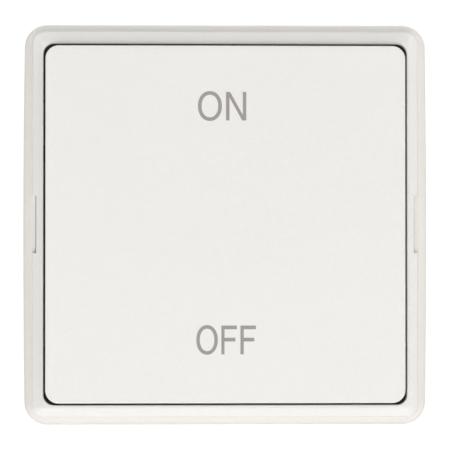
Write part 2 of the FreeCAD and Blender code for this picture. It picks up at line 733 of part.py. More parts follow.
def stand_ribs(body):
    """Ribs inside the four walls that the carrier sits on."""
    height = "place.carrier_back - place.floor_top"
    half = "size.rib_width / 2"
    sketch = new_sketch(body, "side_ribs_outline", "place.floor_top")
    reach = "place.inner_width / 2 - size.rib_reach"
    wall = "place.inner_width / 2 + size.casing_wall / 2"
    for y in ("0", "size.rib_spacing", "-size.rib_spacing"):
        box_outline(sketch, reach, wall, f"{y} - {half}", f"{y} + {half}")
    ribs = pad(body, "side_ribs", sketch, height)
    mirrored(body, "side_ribs_mirrored", [ribs], "YZ_Plane")
    sketch = new_sketch(body, "end_ribs_outline", "place.floor_top")
    reach = "place.inner_height / 2 - size.rib_reach"
    wall = "place.inner_height / 2 + size.casing_wall / 2"
    for x in ("0", "size.rib_spacing", "-size.rib_spacing", "size.rib_spacing / 2", "-size.rib_spacing / 2"):
        box_outline(sketch, f"{x} - {half}", f"{x} + {half}", reach, wall)
    ribs = pad(body, "end_ribs", sketch, height)
    mirrored(body, "end_ribs_mirrored", [ribs], "XZ_Plane")


def make_bezel():
    """White frame round the rocker: lip, slope, pry notches, skirt and four snap arms."""
    body = new_body("bezel")
    sketch = new_sketch(body, "flange_outline", "place.band_top")
    rounded_box(sketch, "place.bezel_width", "place.bezel_height", "size.bezel_radius")
    flange = pad(body, "flange", sketch, "size.bezel_rise")
    outside = beyond("place.bezel_face", "place.bezel_width", "place.bezel_height")
    flange = dress(
        body, "Chamfer", "slope", flange, outside,
        ChamferType=1, Size="size.bezel_slope", Size2="size.bezel_run - size.bezel_land",
    )
    lip_level = "place.bezel_face - size.bezel_slope"
    outside = beyond(lip_level, "place.bezel_width", "place.bezel_height")
    dress(body, "Fillet", "lip", flange, outside, Radius="size.bezel_lip_round")
    sketch = new_sketch(body, "skirt_outline", "place.bezel_foot")
    rounded_box(sketch, "place.skirt_width", "place.skirt_height", "place.skirt_radius")
    pad(body, "skirt", sketch, "size.bezel_skirt")
    sketch = new_sketch(body, "opening_outline", "place.bezel_foot")
    rounded_box(sketch, "place.opening_width", "place.opening_height", "size.opening_radius")
    opening = pocket(body, "opening", sketch, "place.bezel_face - place.bezel_foot")
    half_w, half_h = number("place.opening_width") / 2, number("place.opening_height") / 2
    at_face = level_edge("place.bezel_face")

    def inner(edge):
        middle = edge.valueAt((edge.FirstParameter + edge.LastParameter) / 2)
        return at_face(edge) and abs(middle.x) < half_w + 0.01 and abs(middle.y) < half_h + 0.01

    dress(body, "Fillet", "opening_edge", opening, inner, Radius="size.bezel_edge_round")
    sketch = new_sketch(body, "undercut_outline", "place.bezel_foot")
    rounded_box(
        sketch,
        "place.skirt_width - 2 * size.bezel_skirt_wall",
        "place.skirt_height - 2 * size.bezel_skirt_wall",
        "size.opening_radius",
    )
    depth = "place.bezel_face - size.bezel_lip_depth - place.bezel_foot"
    pocket(body, "undercut", sketch, depth)
    sketch = new_sketch(body, "notch_outline", "place.band_top")
    half = "size.notch_length / 2"
    box_outline(sketch, "place.skirt_width / 2", "size.outer_width / 2", f"-{half}", half)
    notch = pocket(body, "pry_notch", sketch, "size.bezel_rise")
    mirrored(body, "pry_notches", [notch], "YZ_Plane")
    sketch = new_sketch(body, "arm_profile", "-size.arm_offset", plane="XZ_Plane")
    outer = "place.skirt_width / 2"
    inner_face = f"{outer} - size.bezel_skirt_wall"
    polygon(
        sketch,
        [
            (inner_face, "place.bezel_foot + size.bezel_skirt / 2"),
            (inner_face, "place.arm_foot"),
            (f"{outer} - size.arm_barb / 2", "place.arm_foot"),
            (f"{outer} + size.arm_barb", "place.arm_foot + size.arm_barb * 1.6"),
            (f"{outer} + size.arm_barb", "place.arm_foot + size.arm_barb * 2"),
            (outer, "place.arm_foot + size.arm_barb * 2"),
            (outer, "place.bezel_foot + size.bezel_skirt / 2"),
        ],
    )
    arm = pad(body, "arm", sketch, "size.arm_width", SideType="Symmetric")
    both_ways(body, "arms", [arm])
    return body


def make_switch_carrier():
    """Black moulding over the board: spring wells, pivot pins, stops, windows and feet."""
    body = new_body("switch_carrier")
    sketch = new_sketch(body, "web_outline", "place.carrier_back")
    rounded_box(
        sketch,
        "place.inner_width - 2 * size.carrier_gap",
        "place.inner_height - 2 * size.carrier_gap",
        "size.carrier_radius",
    )
    pad(body, "web", sketch, "size.carrier_web")
    sketch = new_sketch(body, "arm_gap_outline", "place.carrier_back")
    inner_face = "place.skirt_width / 2 - size.bezel_skirt_wall - size.arm_play"
    half = "(size.arm_width / 2 + size.arm_play)"
    box_outline(
        sketch, inner_face, "size.outer_width / 2", f"size.arm_offset - {half}", f"size.arm_offset + {half}"
    )
    gap = pocket(body, "arm_gap", sketch, "size.carrier_web")
    both_ways(body, "arm_gaps", [gap])
    sketch = new_sketch(body, "windows_outline", "place.carrier_back")
    for x in ("size.window_offset", "-size.window_offset"):
        for y in ("size.window_offset", "-size.window_offset"):
            centred_box(sketch, "size.window_width", "size.window_height", x, y)
    windows = pocket(body, "windows", sketch, "size.carrier_web")
    dress(body, "Fillet", "window_corners", windows, window_corner, Radius=1.0)
    sketch = new_sketch(body, "feet_outline", "place.board_top")
    foot_radius = "size.post_radius"
    circle(sketch, foot_radius, "place.screw_x", "place.screw_y")
    foot = pad(body, "foot", sketch, "size.carrier_stand")
    both_ways(body, "feet", [foot])
    sketch = new_sketch(body, "screw_hole_outline", "place.board_top")
    radius = "size.screw_radius + size.screw_clearance"
    circle(sketch, radius, "place.screw_x", "place.screw_y")
    hole = pocket(body, "screw_hole", sketch, "place.carrier_top - place.board_top")
    both_ways(body, "screw_holes", [hole])
    make_wells(body)
    make_trunnions(body)
    make_stops(body)
    return body


def window_corner(edge):
    """Upright edges at the corners of the carrier's windows."""
    if not upright_edge(edge):
        return False
    middle = edge.valueAt(edge.FirstParameter)
    half_w, half_h = number("size.window_width") / 2, number("size.window_height") / 2
    offset = number("size.window_offset")
    dx, dy = abs(abs(middle.x) - offset), abs(abs(middle.y) - offset)
    return abs(dx - half_w) < 1e-3 and abs(dy - half_h) < 1e-3


def make_wells(body):
    """Two wells that guide the plungers and hold their springs."""
    sketch = new_sketch(body, "well_outline", "place.well_back")
    circle(sketch, "place.well_outer", "0", "place.plunger_arm")
    well = pad(body, "well", sketch, "place.well_rim - place.well_back")
    mirrored(body, "wells", [well], "XZ_Plane")
    sketch = new_sketch(body, "well_bore_outline", "place.well_seat")
    circle(sketch, "size.well_radius", "0", "place.plunger_arm")
    bore = pocket(body, "well_bore", sketch, "place.well_rim - place.well_seat")
    mirrored(body, "well_bores", [bore], "XZ_Plane")
    sketch = new_sketch(body, "stem_hole_outline", "place.well_back")
    circle(sketch, "size.stem_radius + size.stem_play", "0", "place.plunger_arm")
    hole = pocket(body, "stem_hole", sketch, "size.well_floor")
    mirrored(body, "stem_holes", [hole], "XZ_Plane")


def make_trunnions(body):
    """Windows for the rocker's ears, and the posts and pins that carry it."""
    sketch = new_sketch(body, "ear_window_outline", "place.carrier_back")
    half = "(size.ear_radius + size.ear_play)"
    reach = "place.post_outer + size.trunnion_length + size.ear_play"
    box_outline(sketch, "place.post_outer", reach, f"-{half}", half)
    window = pocket(body, "ear_window", sketch, "size.carrier_web")
    mirrored(body, "ear_windows", [window], "YZ_Plane")
    sketch = new_sketch(body, "post_outline", "place.post_inner", plane="YZ_Plane")
    tab_outline(sketch, "size.trunnion_post_radius", "place.pivot_level", "place.carrier_back")
    post = pad(body, "trunnion_post", sketch, "size.trunnion_post")
    sketch = new_sketch(body, "trunnion_outline", "place.post_inner", plane="YZ_Plane")
    circle(sketch, "size.trunnion_radius", "0", "place.pivot_level")
    rod = pad(body, "trunnion", sketch, "size.trunnion_post + size.trunnion_length")
    mirrored(body, "trunnions", [post, rod], "YZ_Plane")


def make_stops(body):
    """Low pads that the rocker's skirt meets at full tilt."""
    sketch = new_sketch(body, "stop_outline", "place.carrier_top")
    edge = "place.rocker_height / 2"
    half = "size.stop_length / 2"
    box_outline(
        sketch,
        f"size.stop_offset - {half}",
        f"size.stop_offset + {half}",
        f"{edge} - size.stop_width",
        edge,
    )
    stop = pad(body, "stop", sketch, "place.stop_level - place.carrier_top")
    both_ways(body, "stops", [stop])


def make_rocker():
    """White key: rounded face, skirt, ribs, two bosses and two pivot ears."""
    body = new_body("rocker")
    sketch = new_sketch(body, "key_outline", "place.rocker_foot")
    rounded_box(sketch, "place.rocker_width", "place.rocker_height", "size.rocker_radius")
    key = pad(body, "key", sketch, "place.rocker_face - place.rocker_foot")
    at_face = level_edge("place.rocker_face")
    dress(body, "Fillet", "front_edge", key, at_face, Radius="size.rocker_edge_round")
    sketch = new_sketch(body, "hollow_outline", "place.rocker_foot")
    inner = "2 * size.rocker_wall"
    rounded_box(
        sketch,
        f"place.rocker_width - {inner}",
        f"place.rocker_height - {inner}",
        "max(size.rocker_radius - size.rocker_wall; 0.4)",
    )
    pocket(body, "hollow", sketch, "place.rocker_under - place.rocker_foot")
    half = "size.rocker_rib_width / 2"
    side = "place.rocker_width / 2 - size.rocker_wall / 2"
    end = "place.rocker_height / 2 - size.rocker_wall / 2"
    depth = "size.rocker_rib + size.rocker_plate / 2"
    sketch = new_sketch(body, "upright_ribs_outline", "place.boss_level")
    for x in ("size.rocker_rib_spacing", "-size.rocker_rib_spacing"):
        box_outline(sketch, f"{x} - {half}", f"{x} + {half}", f"-({end})", end)
    pad(body, "upright_ribs", sketch, depth)
    sketch = new_sketch(body, "level_ribs_outline", "place.boss_level")
    for y in ("size.rocker_rib_spacing", "-size.rocker_rib_spacing"):
        box_outline(sketch, f"-({side})", side, f"{y} - {half}", f"{y} + {half}")
    pad(body, "level_ribs", sketch, depth)
    sketch = new_sketch(body, "bosses_outline", "place.boss_level")
    for y in ("place.plunger_arm", "-place.plunger_arm"):
        circle(sketch, "size.boss_radius", "0", y)
    pad(body, "bosses", sketch, depth)
    make_ears(body)
    return body


def make_ears(body):
    """Ears with bores that hang from the back of the key and turn on the carrier's pins."""
    sketch = new_sketch(body, "ear_outline", "place.ear_inner", plane="YZ_Plane")
    root = "place.rocker_under + size.rocker_plate / 2"
    tab_outline(sketch, "size.ear_radius", "place.pivot_level", root)
    ear = pad(body, "ear", sketch, "size.ear_thickness")
    mirrored(body, "ears", [ear], "YZ_Plane")
    sketch = new_sketch(body, "ear_bore_outline", "place.ear_inner", plane="YZ_Plane")
    circle(sketch, "size.trunnion_radius + size.pivot_play", "0", "place.pivot_level")
    bore = pocket(body, "ear_bore", sketch, "size.ear_thickness")
    mirrored(body, "ear_bores", [bore], "YZ_Plane")


def make_plunger(name, up):
    """Turned form of a plunger: nose, head and stem."""
    body = new_body(name, up=up)
    sketch = new_sketch(body, "section", plane="XZ_Plane")
    blunt = "size.nose_radius * 0.55"
    tip = "size.stem_radius * 0.6"
    polygon(
        sketch,
        [
            ("0", "place.stem_foot"),
            (tip, "place.stem_foot"),
            ("size.stem_radius", "place.stem_foot + size.stem_radius * 0.3"),
            ("size.stem_radius", "place.head_under"),
            ("size.head_radius", "place.head_under"),
            ("size.head_radius", "place.head_top"),
            ("size.nose_radius", "place.head_top"),
            (blunt, "place.nose_level"),
            ("0", "place.nose_level"),
        ],
    )
    turn(body, "turned", sketch)
    return body


def turn(body, name, sketch, kind="Revolution", **settings):
    """Turn a section about the piece's own z axis."""
    axis = (origin(body, "Z_Axis"), [""])
    return add(body, kind, name, sketch, ReferenceAxis=axis, Angle=360.0, **settings)


def make_spring(name, up):
    """Coil spring between the floor of a well and the head of its plunger."""
    body = new_body(name, up=up)
    sketch = new_sketch(body, "wire", plane="XZ_Plane")
    foot = "place.well_seat + size.spring_play + size.spring_wire / 2"
    wire_section(sketch, "size.spring_wire", "size.spring_radius", foot)
    height = "place.head_under - place.well_seat - 2 * size.spring_play - size.spring_wire"
    add(
        body, "AdditiveHelix", "coil", sketch,
        ReferenceAxis=(origin(body, "Z_Axis"), [""]),
        Mode="height-turns-angle", Height=height, Turns="size.spring_turns",
    )
    return body


def make_dome(name, up):
    """Snap dome of thin spring steel, resting on the board by its rim."""
    body = new_body(name, up=up, out="place.board_top")
    sketch = new_sketch(body, "section", plane="XZ_Plane")
    sheet = "size.dome_sheet"
    rim, crown = "size.dome_radius", "size.dome_height"
    polygon(
        sketch,
        [
            ("0", f"{crown} - {sheet}"),
            (f"{rim} - {sheet} * 3", "0"),
            (rim, "0"),
            (rim, f"{sheet} / 2"),
            ("0", crown),
        ],
    )
    turn(body, "pressed", sketch)
    return body


def make_battery_cover():
    """Round bayonet cover in the floor, with a coin slot, a rim and three lugs."""
    body = new_body("battery_cover")
    sketch = new_sketch(body, "disc_outline", "place.floor_back")
    circle(sketch, "place.cover_radius")
    pad(body, "disc", sketch, "size.floor_thickness")
    sketch = new_sketch(body, "rim_outline", "place.floor_top")
    circle(sketch, "place.cover_radius")
    circle(sketch, "place.cover_radius - size.cover_rim")
    pad(body, "rim", sketch, "size.cover_rim_height")
    sketch = new_sketch(body, "lug_outline", "place.floor_top + size.lug_play")
    half = "size.lug_width / 2"
    start = "place.cover_radius - size.cover_rim"
    box_outline(sketch, f"-{half}", half, f"-(place.cover_radius + size.lug_reach)", f"-({start}) + 0.2")
    lug = pad(body, "lug", sketch, "size.cover_rim_height - size.lug_play")
    ring = body.newObject("PartDesign::PolarPattern", "lugs")
    ring.Originals = [lug]
    ring.Axis = (origin(body, "Z_Axis"), [""])
    ring.Occurrences = 3
    ring.Angle = 360
    body.Tip = ring
    doc.recompute()
    sketch = new_sketch(body, "coin_slot_outline", "place.floor_back")
    slot(sketch, "size.coin_slot_length", "size.coin_slot_width")
    pocket(body, "coin_slot", sketch, "size.coin_slot_depth")
    return body


def make_coin_cell():
    """3 V coin cell: the can faces the cover, the smaller cap faces the board."""
    body = new_body("coin_cell", out="place.cell_level")
    sketch = new_sketch(body, "section", plane="XZ_Plane")
    edge = "size.cell_thickness / 8"
    cap = "place.cell_radius * 0.88"
    polygon(
        sketch,
        [
            ("0", "0"),
            (f"place.cell_radius - {edge}", "0"),
            ("place.cell_radius", edge),
            ("place.cell_radius", f"size.cell_thickness - {edge} * 2"),
            (f"place.cell_radius - {edge}", f"size.cell_thickness - {edge}"),
            (cap, f"size.cell_thickness - {edge}"),
            (f"{cap} - {edge}", "size.cell_thickness"),
            ("0", "size.cell_thickness"),
        ],
    )
    turn(body, "pressed", sketch)
    return body


def make_cell_holder():
    """Moulded ring on the back of the board that holds the cell, open at the plus contact."""
    body = new_body("cell_holder")
    sketch = new_sketch(body, "ring_outline", "place.floor_top + size.holder_foot")
    circle(sketch, "place.holder_outer")
    circle(sketch, "place.holder_inner")
    pad(body, "ring", sketch, "place.board_back - place.floor_top - size.holder_foot")
    sketch = new_sketch(body, "contact_gap_outline", "place.floor_top + size.holder_foot")
    half = "(size.contact_width / 2 + size.holder_gap)"
    reach = "place.holder_outer + size.holder_wall"
    box_outline(sketch, "place.cell_radius / 2", reach, f"-{half}", half)
    height = "place.board_back - place.floor_top"
    pocket(body, "contact_gap", sketch, height)
    return body


def make_positive_contact():
    """Bent spring strip: foot on the board, leg beside the cell, kinked to press on its side."""
    body = new_body("cell_contact_positive")
    sketch = new_sketch(body, "section", plane="XZ_Plane")
    sheet = "size.contact_sheet"
    inner = "place.cell_radius + size.holder_gap / 2"
    foot = "place.board_back"
    end = "place.cell_level + size.cell_thickness / 4"
    middle = "place.cell_level + size.cell_thickness / 2"
    reach = "place.holder_outer + size.holder_wall"
    back = f"{inner} + {sheet} * 2"
    polygon(
        sketch,
        [
            (back, foot),
            (back, f"{middle} + {sheet}"),
            (inner, middle),
            (f"{inner} + {sheet}", end),
            (f"{inner} + {sheet} * 2", end),
            (f"{inner} + {sheet} * 1.2", middle),
            (f"{back} + {sheet}", f"{middle} + {sheet}"),
            (f"{back} + {sheet}", f"{foot} - {sheet}"),
            (reach, f"{foot} - {sheet}"),
            (reach, foot),
        ],
    )
    pad(body, "strip", sketch, "size.contact_width", SideType="Symmetric")
    return body


def make_negative_contact():
    """Flat spring strip under the board with two raised tongues that touch the cell's cap."""
    body = new_body("cell_contact_negative")
    sketch = new_sketch(body, "section", plane="XZ_Plane")
    sheet = "size.contact_sheet"
    reach = "place.cell_radius * 0.6"
    board = "place.board_back"
    touch = "place.cell_level + size.cell_thickness"
    polygon(
        sketch,
        [
            (f"-({reach})", board),
            (f"-({reach})", f"{board} - {sheet}"),
            (f"-({reach}) / 2", f"{board} - {sheet}"),
            (f"-({reach}) / 3", touch),
            (f"({reach}) / 3", touch),
            (f"({reach}) / 2", f"{board} - {sheet}"),
            (reach, f"{board} - {sheet}"),
            (reach, board),
        ],
    )
    pad(body, "strip", sketch, "size.contact_width", SideType="Symmetric")
    return body


def make_circuit_board():
    """Board with round corners and four screw holes."""
    body = new_body("circuit_board")
    sketch = new_sketch(body, "board_outline", "place.board_back")
    rounded_box(sketch, "place.board_width", "place.board_height", "size.board_radius")
    radius = "size.screw_radius + size.screw_clearance"
    for x in ("place.screw_x", "-place.screw_x"):
        for y in ("place.screw_y", "-place.screw_y"):
            circle(sketch, radius, x, y)
    pad(body, "board", sketch, "size.board_thickness")
    return body


def make_transmitter_chip():
    """Moulded chip package with bevelled edges and a pin-one dimple."""
    body = new_body("transmitter_chip", x="-size.chip_offset", out="place.board_top")
    sketch = new_sketch(body, "package_outline", "size.chip_stand")
    centred_box(sketch, "size.chip_length", "size.chip_width")
    package = pad(body, "package", sketch, "size.chip_height")
    top = level_edge("size.chip_stand + size.chip_height")
    dress(body, "Chamfer", "bevel", package, top, Size="size.chip_height / 6")
    sketch = new_sketch(body, "dimple_outline", "size.chip_stand + size.chip_height")
    circle(sketch, "size.lead_width", "-(size.chip_length / 2 - size.chip_height)", "0")
    pocket(body, "dimple", sketch, "size.lead_sheet / 2", up=False)
    return body


def make_chip_leads():
    """Bent leads along both long sides of the chip."""
    body = new_body("chip_leads", x="-size.chip_offset", out="place.board_top")
    row = "(size.lead_count - 1) * size.lead_pitch"
    sketch = new_sketch(body, "section", f"-({row}) / 2", plane="YZ_Plane")
    start = "size.chip_width / 2"
    sheet, reach = "size.lead_sheet", "size.lead_reach"
    shoulder = "size.chip_stand + size.chip_height / 2"
    polygon(
        sketch,
        [
            (start, shoulder),
            (f"{start} + {reach} / 3", shoulder),
            (f"{start} + {reach} / 3", "0"),
            (f"{start} + {reach}", "0"),
            (f"{start} + {reach}", sheet),
            (f"{start} + {reach} / 3 + {sheet}", sheet),
            (f"{start} + {reach} / 3 + {sheet}", f"{shoulder} + {sheet}"),
            (start, f"{shoulder} + {sheet}"),
        ],
    )
    lead = pad(body, "lead", sketch, "size.lead_width", SideType="Symmetric")
    group = body.newObject("PartDesign::MultiTransform", "leads")
    line = body.newObject("PartDesign::LinearPattern", "leads_in_line")
    line.Direction = (origin(body, "X_Axis"), [""])
    line.Occurrences = int(number("size.lead_count"))
    line.setExpression("Length", row)
    flip = body.newObject("PartDesign::Mirrored", "leads_mirrored")
    flip.MirrorPlane = (origin(body, "XZ_Plane"), [""])
    group.Originals = [lead]
    group.Transformations = [line, flip]
    body.Tip = group
    doc.recompute()
    return body


def make_crystal():
    """Flat metal can with rounded corners."""
    body = new_body("crystal", x="size.chip_offset", out="place.board_top")
    sketch = new_sketch(body, "can_outline")
    rounded_box(sketch, "size.crystal_length", "size.crystal_width", "size.crystal_width / 6")
    can = pad(body, "can", sketch, "size.crystal_height")
    top = level_edge("size.crystal_height")
    dress(body, "Chamfer", "lid", can, top, Size="size.crystal_height / 8")
    return body


def make_antenna_coil():
    """Coil of copper wire that lies on the back of the board."""
    half = "size.coil_turns * size.coil_pitch / 2"
    out = "place.board_back - size.coil_radius - size.coil_wire / 2"
    body = new_body("antenna_coil", up="-size.coil_offset", out=out)
    sketch = new_sketch(body, "wire", plane="XZ_Plane")
    wire_section(sketch, "size.coil_wire", f"-({half})", "size.coil_radius")
    add(
        body, "AdditiveHelix", "coil", sketch,
        ReferenceAxis=(origin(body, "X_Axis"), [""]),
        Mode="pitch-turns-angle", Pitch="size.coil_pitch", Turns="size.coil_turns",
    )
    return body


def make_chip_parts(name, x, height, count):
    """A row of small surface mounted parts on the front of the board."""
    body = new_body(name, x=x, out="place.board_top")
    sketch = new_sketch(body, "outlines")
    for index in range(count):
        y = f"{index - (count - 1) / 2} * size.chip_part_pitch - size.chip_offset"
        centred_box(sketch, "size.chip_part_length", "size.chip_part_width", "0", y)
    pad(body, "parts", sketch, height)
    return body


def make_carrier_screws():
    """Four pan head screws through the carrier and the board into the casing's posts."""
    body = new_body("carrier_screws")
    sketch = new_sketch(body, "shank_outline", "place.carrier_top - size.screw_length")
    circle(sketch, "size.screw_radius", "place.screw_x", "place.screw_y")
    shank = pad(body, "shank", sketch, "size.screw_length")
    sketch = new_sketch(body, "head_outline", "place.carrier_top")
    circle(sketch, "size.screw_head_radius", "place.screw_x", "place.screw_y")
    head = pad(body, "head", sketch, "size.screw_head_height", TaperAngle=-12.0)
    sketch = new_sketch(body, "cross_outline", "place.carrier_top + size.screw_head_height")
    arm, half = "size.screw_head_radius * 0.6", "size.screw_slot / 2"
    x, y = "place.screw_x", "place.screw_y"
    polygon(
        sketch,
        [
            (f"{x} - {arm}", f"{y} - {half}"),
            (f"{x} - {half}", f"{y} - {half}"),
            (f"{x} - {half}", f"{y} - {arm}"),
            (f"{x} + {half}", f"{y} - {arm}"),
            (f"{x} + {half}", f"{y} - {half}"),
            (f"{x} + {arm}", f"{y} - {half}"),
            (f"{x} + {arm}", f"{y} + {half}"),
            (f"{x} + {half}", f"{y} + {half}"),
            (f"{x} + {half}", f"{y} + {arm}"),
            (f"{x} - {half}", f"{y} + {arm}"),
            (f"{x} - {half}", f"{y} + {half}"),
            (f"{x} - {arm}", f"{y} + {half}"),
        ],
    )
    cross = pocket(body, "cross", sketch, "size.screw_head_height * 0.6", up=False)
    both_ways(body, "screws", [shank, head, cross])
    return body


def check_and_write(bodies):
    """Stop at any failed object or bad shape, then write one file for each piece."""
    doc.recompute()
    for thing in doc.Objects:
        if "Invalid" in thing.State or "Error" in thing.State:
            raise RuntimeError(f"{thing.Name} failed: {thing.State}")
    for body in bodies:
        shape = body.Shape
        if shape.isNull() or not shape.isValid() or not shape.Solids:
            raise RuntimeError(f"{body.Label} has no valid solid")
    os.makedirs("parts", exist_ok=True)
    for body in bodies:
        body.Shape.exportStep(f"parts/{body.Label}.step")
        print(f"{body.Label}: {len(body.Shape.Solids)} solids, {body.Shape.Volume:.2f} mm3")


fill_sheets()
ARM, MINUS_ARM = "place.plunger_arm", "-place.plunger_arm"
check_and_write(
    [
        make_wall_plate(),
        make_adhesive_pads(),
        make_outer_casing(),
        make_bezel(),
        make_switch_carrier(),
        make_rocker(),
        make_plunger("on_plunger", ARM),
        make_plunger("off_plunger", MINUS_ARM),
        make_spring("on_spring", ARM),
        make_spring("off_spring", MINUS_ARM),
        make_dome("on_dome", ARM),
        make_dome("off_dome", MINUS_ARM),
        make_battery_cover(),
        make_coin_cell(),
        make_cell_holder(),
        make_positive_contact(),
        make_negative_contact(),
        make_circuit_board(),
        make_transmitter_chip(),
        make_chip_leads(),
        make_crystal(),
        make_antenna_coil(),
        make_chip_parts("chip_capacitors", "-size.chip_offset", "size.capacitor_height", 3),
        make_chip_parts("chip_resistors", "size.chip_offset", "size.resistor_height", 4),
        make_carrier_screws(),
    ]
)
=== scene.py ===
import math

import bmesh
import bpy
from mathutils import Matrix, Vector


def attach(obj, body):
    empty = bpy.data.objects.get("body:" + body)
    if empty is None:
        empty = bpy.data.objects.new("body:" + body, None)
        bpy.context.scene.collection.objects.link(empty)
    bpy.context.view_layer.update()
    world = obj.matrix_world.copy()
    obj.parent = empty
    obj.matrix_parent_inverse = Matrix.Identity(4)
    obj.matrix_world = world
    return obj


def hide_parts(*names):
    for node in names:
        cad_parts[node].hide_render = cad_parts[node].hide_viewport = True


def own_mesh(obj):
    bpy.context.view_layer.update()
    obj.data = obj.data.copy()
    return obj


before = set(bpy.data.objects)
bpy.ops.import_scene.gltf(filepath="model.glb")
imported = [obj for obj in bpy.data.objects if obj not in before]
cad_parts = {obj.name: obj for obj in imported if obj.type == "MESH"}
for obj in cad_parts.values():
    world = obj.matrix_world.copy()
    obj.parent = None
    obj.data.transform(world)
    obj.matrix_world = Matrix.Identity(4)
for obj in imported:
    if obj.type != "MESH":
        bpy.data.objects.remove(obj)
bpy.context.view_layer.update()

MM = 0.001

# The photograph: its width in pixels and its scale at the point that the camera is aimed at, in
# millimetres. The camera stands a little to the left and below, in degrees, and so many metres off.
IMAGE = 450
SENSOR = 36.0
PIXELS_PER_MM = 5.006
CAMERA_AIM = (0.0, -10.0, -0.075)
CAMERA_SIDE = -1.3
CAMERA_RISE = -0.65
CAMERA_DISTANCE = 0.42

# Heights out of the wall, in millimetres, as the part has them.
KEY_FACE = 16.0
BOARD_TOP = 8.0
WELL_SEAT = 9.7
HEAD_UNDER = 11.95

# Places of the part beside and above its middle, in millimetres.
PLUNGER_ARM = 22.0
CAPACITOR_MIDDLE = -14.0
RESISTOR_MIDDLE = 14.0
CHIP_PART_HALF = 1.0
TINNED_FROM = 0.55

# The printed film over the key's face, and how far its foot sinks into it, in millimetres.
INK_FILM = 0.02
INK_FOOT = 0.005
# At 2 the letter O is an ellipse; a little more fills out its shoulders.
OVAL_POWER = 2.12
OVAL_STEPS = 72

# Coil springs, in millimetres and turns. All turns share a part of the climb evenly, so that the
# closed turns at the ends lie on each other instead of in each other.
WIRE_RADIUS = 0.18
COIL_RADIUS = 2.5
COIL_TURNS = 4.5
CLOSED_TURNS = 0.75
COIL_PLAY = 0.03
EVEN_CLIMB = 0.36
TURN_STEPS = 28

# Section of a snap dome, from its dimple to its foot and back: radius and height in millimetres.
DOME_SECTION = [
    (0.0, 0.30), (0.35, 0.30), (0.7, 0.335), (1.6, 0.315), (2.6, 0.235), (3.4, 0.11), (3.75, 0.03),
    (4.0, 0.0), (4.0, 0.06), (3.8, 0.10), (3.4, 0.18), (2.6, 0.30), (1.6, 0.345), (0.7, 0.35),
    (0.35, 0.33), (0.0, 0.33),
]
DOME_STEPS = 48

# Strength of the room's light in front of the part and behind it, and where one turns to the other.
ROOM_FRONT = 0.21
ROOM_BACK = 0.57
ROOM_TURN = (-0.1, 0.15)
# Diffusers: degrees to the right, degrees up, then distance, width and height in metres, and watts.
DIFFUSERS = [
    ("low_front_diffuser", 0, -36, 1.1, 0.6, 0.5, 4.55),
    ("low_right_diffuser", 40, -35, 1.1, 0.6, 0.5, 1.35),
    ("low_left_diffuser", -40, -35, 1.1, 0.6, 0.5, 2.4),
    ("right_diffuser", 50, 0, 1.1, 0.6, 0.5, 1.15),
    ("high_left_diffuser", -50, 40, 1.1, 0.6, 0.5, 2.4),
    ("high_right_diffuser", 50, 40, 1.1, 0.6, 0.5, 3.2),
    ("behind_diffuser", 180, 52, 1.1, 2.0, 1.0, 5.8),
]

# The set, in metres, and how brightly the paper glows.
PAPER_RADIUS = 6.0
PAPER_GLOW = 1.05
FLOOR_LEVEL = -1.3
FLOOR_HALF = 2.0

# Sockets of a colour mix, by number, because sockets for other kinds of value have the same names.
MIX_AMOUNT, MIX_FIRST, MIX_SECOND, MIX_RESULT = 0, 6, 7, 2
# Nearly all of a noise texture's values lie between these two.
NOISE_LOW, NOISE_HIGH = 0.3, 0.7


def linear(code):
    """An sRGB hex colour as the linear value that a shader socket takes."""
    parts = [int(code[i:i + 2], 16) / 255 for i in (1, 3, 5)]
    return [c / 12.92 if c <= 0.04045 else ((c + 0.055) / 1.055) ** 2.4 for c in parts] + [1.0]


def add(tree, kind, inputs=None, **settings):
    """Add a node, set its properties, and give its inputs a value or another node's output."""
    made = tree.nodes.new(kind)
    for name, value in settings.items():
        setattr(made, name, value)
    for name, value in (inputs or {}).items():
        if isinstance(value, bpy.types.NodeSocket):
            tree.links.new(value, made.inputs[name])
        else:
            made.inputs[name].default_value = value
    return made


def new_material(name, **surface):
    """A material with one Principled surface; returns it, its tree, the surface and the place."""
    material = bpy.data.materials.new(name)
    material.use_nodes = True
    tree = material.node_tree
    tree.nodes.clear()
    shader = add(tree, "ShaderNodeBsdfPrincipled", surface)
    add(tree, "ShaderNodeOutputMaterial", {"Surface": shader.outputs["BSDF"]})
    place = add(tree, "ShaderNodeTexCoord").outputs["Object"]
    return material, tree, shader, place


def per_mm(size):
    """Scale of a pattern whose features are this many millimetres apart."""
    return 1 / (size * MM)


def mottled(tree, place, size, low, high, detail=3.0):
    """Noise of a size in mm, spread between two values."""
    noise = add(tree, "ShaderNodeTexNoise", {"Vector": place, "Scale": per_mm(size), "Detail": detail})
    return add(
        tree, "ShaderNodeMapRange",
        {
            "Value": noise.outputs["Fac"], "From Min": NOISE_LOW, "From Max": NOISE_HIGH,
            "To Min": low, "To Max": high,
        },
    ).outputs["Result"]


def finish(tree, shader, amount, first, second, gloss=None, relief=None, depth=0.0):
    """Give a surface its colour, between two tones by an amount, its gloss and its relief.

    A tone is a hex code or another node's colour, and the relief's depth is in millimetres.
    """
    tones = {MIX_AMOUNT: amount}
    for socket, tone in ((MIX_FIRST, first), (MIX_SECOND, second)):
        tones[socket] = linear(tone) if isinstance(tone, str) else tone
    mix = add(tree, "ShaderNodeMix", tones, data_type="RGBA")
    tree.links.new(mix.outputs[MIX_RESULT], shader.inputs["Base Color"])
    if gloss is not None:
        tree.links.new(gloss, shader.inputs["Roughness"])
    if relief is not None:
        bump = add(tree, "ShaderNodeBump", {"Height": relief, "Distance": depth * MM})
        tree.links.new(bump.outputs["Normal"], shader.inputs["Normal"])


